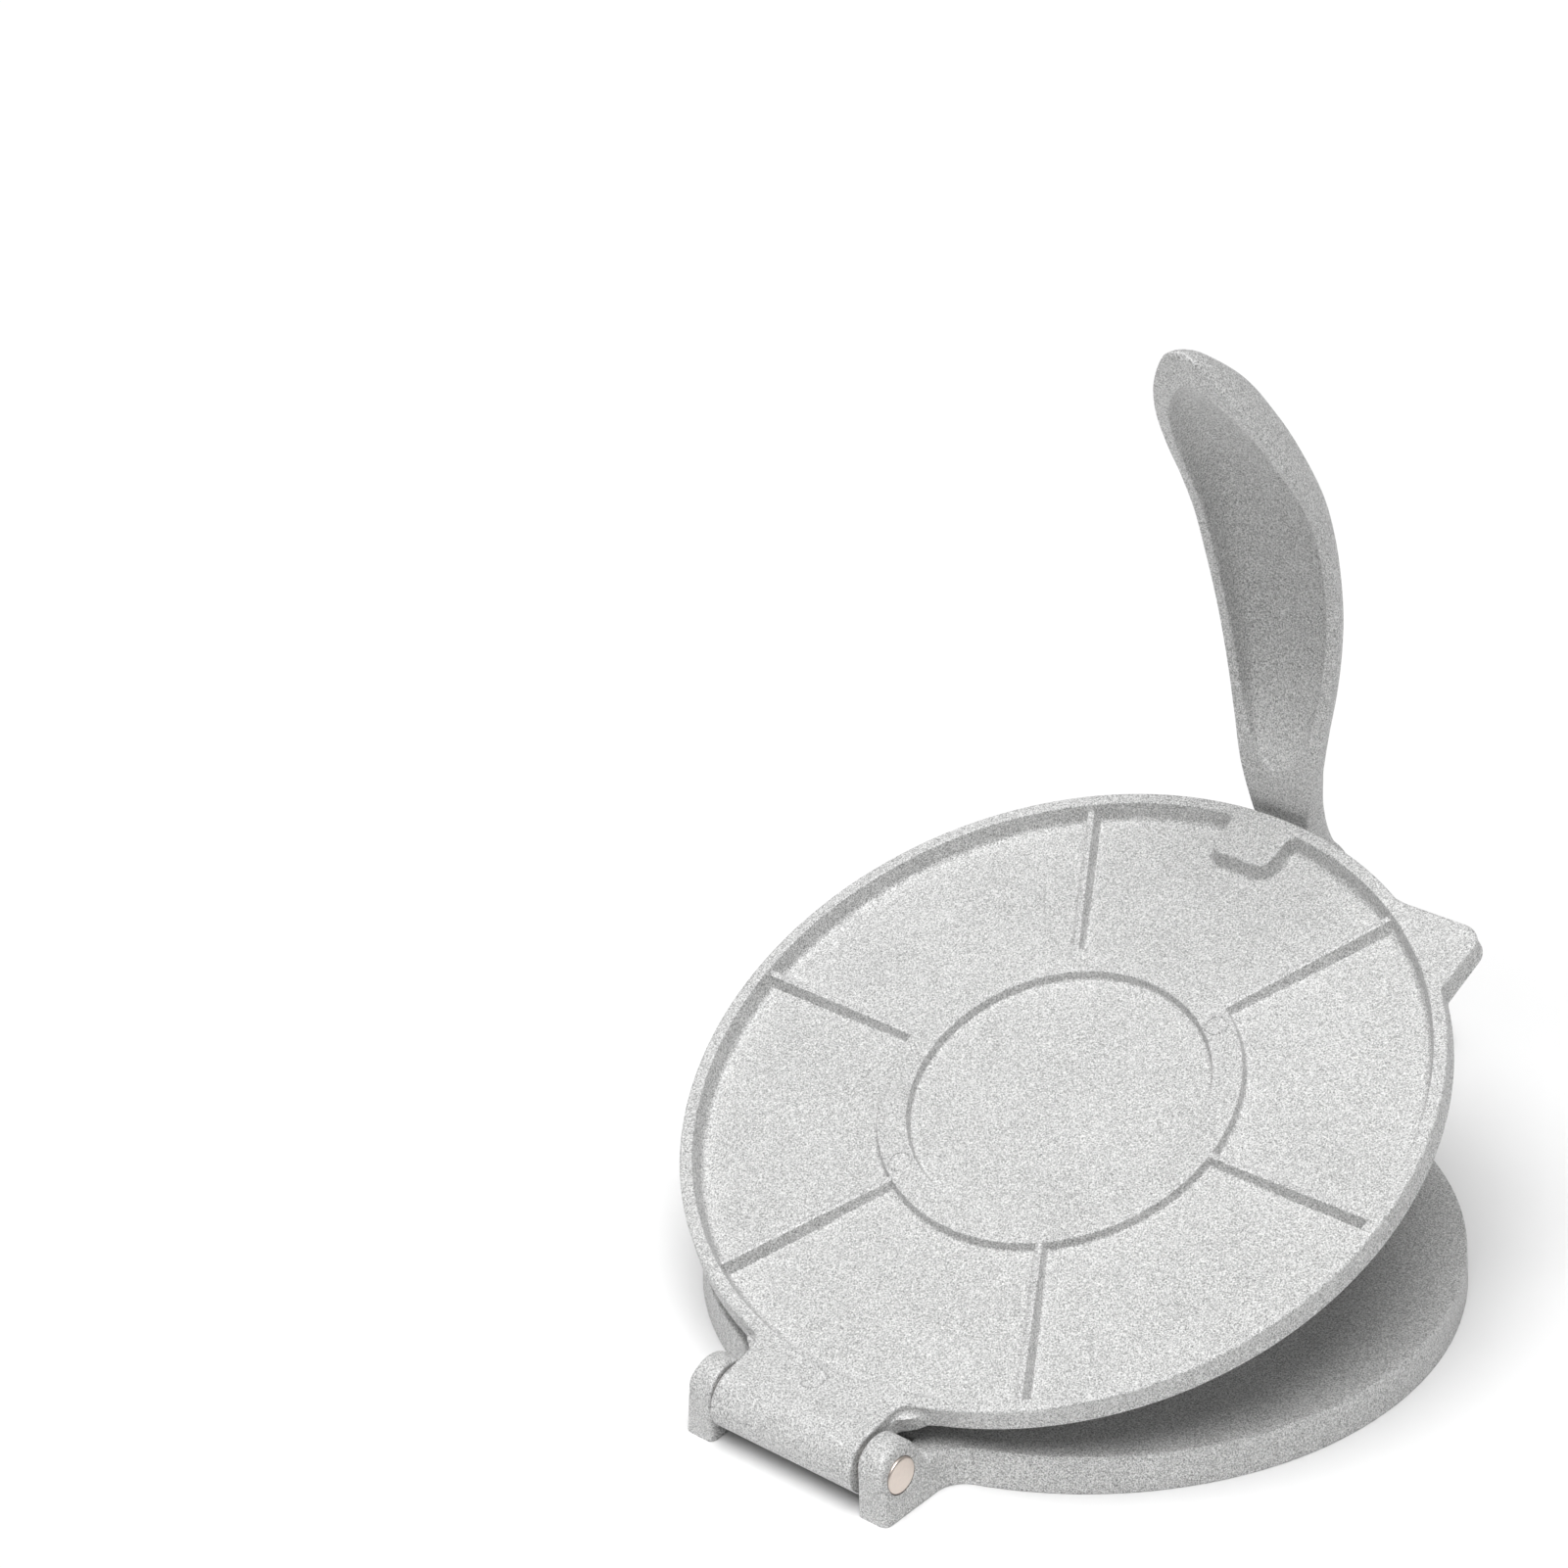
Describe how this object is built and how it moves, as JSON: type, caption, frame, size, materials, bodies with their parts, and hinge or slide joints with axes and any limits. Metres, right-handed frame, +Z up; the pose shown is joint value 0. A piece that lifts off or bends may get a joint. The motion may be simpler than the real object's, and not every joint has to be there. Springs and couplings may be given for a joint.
{
  "type": "tortilla press",
  "caption": "Cast aluminium tortilla press with a ribbed pressing plate hinged open over a round base, and an upright hollow lever on a tongue.",
  "frame": {"origin": "on the surface that the press stands on, under the middle of its bounding box, 14.75 mm in front of the pressing disc's centre", "axes": "+Z up, +Y towards the hinge of the pressing plate, -Y towards the lever and the tongue"},
  "size_m": [0.165, 0.2266, 0.199],
  "materials": {
    "cast_base": "matte silver, fine sparkling grain",
    "cast_plate": "matte silver, fine sparkling grain",
    "cast_handle": "matte silver, fine sparkling grain",
    "hinge_pin_steel": "plain turned end",
    "lever_pin_steel": "plain turned end"
  },
  "bodies": {
    "base": {"base": "cast_base", "plate_hinge_pin": "hinge_pin_steel", "handle_pivot_pin": "lever_pin_steel"},
    "plate": {"top_plate": "cast_plate"},
    "lever": {"handle": "cast_handle"}
  },
  "joints": [
    {"name": "plate_hinge", "type": "hinge", "parent": "base", "child": "plate", "pos_m": [0, 0.10625, 0.0093], "axis": [-1, 0, 0], "range_deg": [-22.5, 157.5]},
    {"name": "handle_pivot", "type": "hinge", "parent": "base", "child": "lever", "pos_m": [0, -0.07975, 0.02], "axis": [1, 0, 0], "range_deg": [0, 8]}
  ]
}
